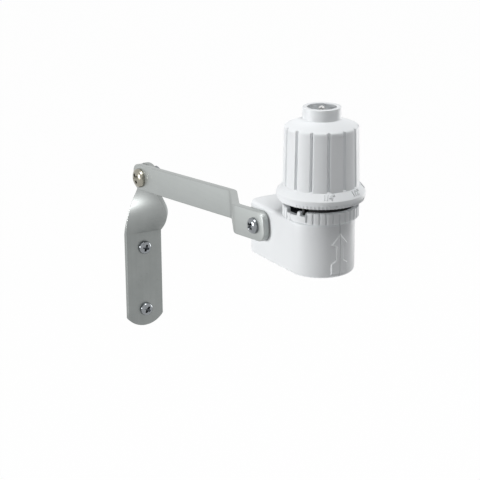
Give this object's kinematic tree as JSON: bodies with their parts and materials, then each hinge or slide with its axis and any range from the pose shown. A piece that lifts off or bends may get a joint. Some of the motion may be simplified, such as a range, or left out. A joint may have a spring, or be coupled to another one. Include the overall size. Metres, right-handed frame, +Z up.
{
  "type": "rain sensor",
  "caption": "Wall-mounted rain sensor: a fluted dial cap over absorbing discs, a vent ring and a switch housing, on a jointed aluminium arm.",
  "frame": {"origin": "on the wall, midway between the two wall screws, in the bracket's back face", "axes": "+Z up, +Y into the wall, the arm reaches out along -Y, +X along the hinge axes away from the bolt heads"},
  "size_m": [0.0375, 0.1942, 0.1477],
  "materials": {
    "strip_aluminium": "satin, rolled along the strip",
    "screw_steel": "bright zinc plate",
    "bolt_nickel": "bright nickel plate, slightly warm",
    "housing_plastic": "moulded, fine satin",
    "plunger_plastic": "moulded, satin",
    "plastic_black": "moulded, satin",
    "rubber_black": "matt",
    "disc_fibre": "pressed fibre",
    "spring_steel": "drawn wire",
    "button_plastic": "moulded",
    "terminal_brass": "stamped"
  },
  "bodies": {
    "mount": {"wall_bracket": "strip_aluminium", "wall_screws": "screw_steel", "pivot_bolt": "bolt_nickel", "pivot_washer": "screw_steel", "pivot_nut": "screw_steel"},
    "arm": {"arm": "strip_aluminium"},
    "sensor": {"clamp_screw": "screw_steel", "clamp_washer": "screw_steel", "clamp_nut": "screw_steel", "housing_left": "housing_plastic", "housing_right": "housing_plastic", "housing_screws": "screw_steel", "cable_grommet": "rubber_black", "vent_hub": "plastic_black", "return_spring": "spring_steel", "switch_body": "plastic_black", "switch_terminals": "terminal_brass"},
    "ring": {"vent_ring": "housing_plastic"},
    "dial": {"cap": "housing_plastic"},
    "plunger": {"spindle": "plunger_plastic", "disc_carrier": "plunger_plastic", "disc_1": "disc_fibre", "disc_2": "disc_fibre", "disc_3": "disc_fibre", "disc_4": "disc_fibre", "disc_5": "disc_fibre", "disc_6": "disc_fibre"},
    "button": {"switch_button": "button_plastic"}
  },
  "joints": [
    {"name": "arm_hinge", "type": "hinge", "parent": "mount", "child": "arm", "pos_m": [-0.0017, -0.0099, 0.0555], "axis": [1, 0, 0], "range_deg": [-50, 45]},
    {"name": "sensor_hinge", "type": "hinge", "parent": "arm", "child": "sensor", "pos_m": [-0.0017, -0.14003, 0.06872], "axis": [1, 0, 0], "range_deg": [-55, 55]},
    {"name": "ring_turn", "type": "hinge", "parent": "sensor", "child": "ring", "pos_m": [-0.0017, -0.16373, 0.07702], "axis": [0, 0, 1], "range_deg": [0, 45]},
    {"name": "dial_turn", "type": "hinge", "parent": "sensor", "child": "dial", "pos_m": [-0.0017, -0.16373, 0.07702], "axis": [0, 0, 1], "range_deg": [-67.5, 67.5]},
    {"name": "plunger_press", "type": "slide", "parent": "sensor", "child": "plunger", "axis": [0, 0, -1], "range_m": [0, 0.0012], "stiffness_N_per_m": 600, "springref_m": -0.0015, "deforming": ["return_spring"]},
    {"name": "button_press", "type": "slide", "parent": "sensor", "child": "button", "axis": [0, 0, -1], "range_m": [0, 0.0012]}
  ],
  "couplings": [
    {"joint": "button_press", "follows": "plunger_press", "ratio": 1}
  ]
}
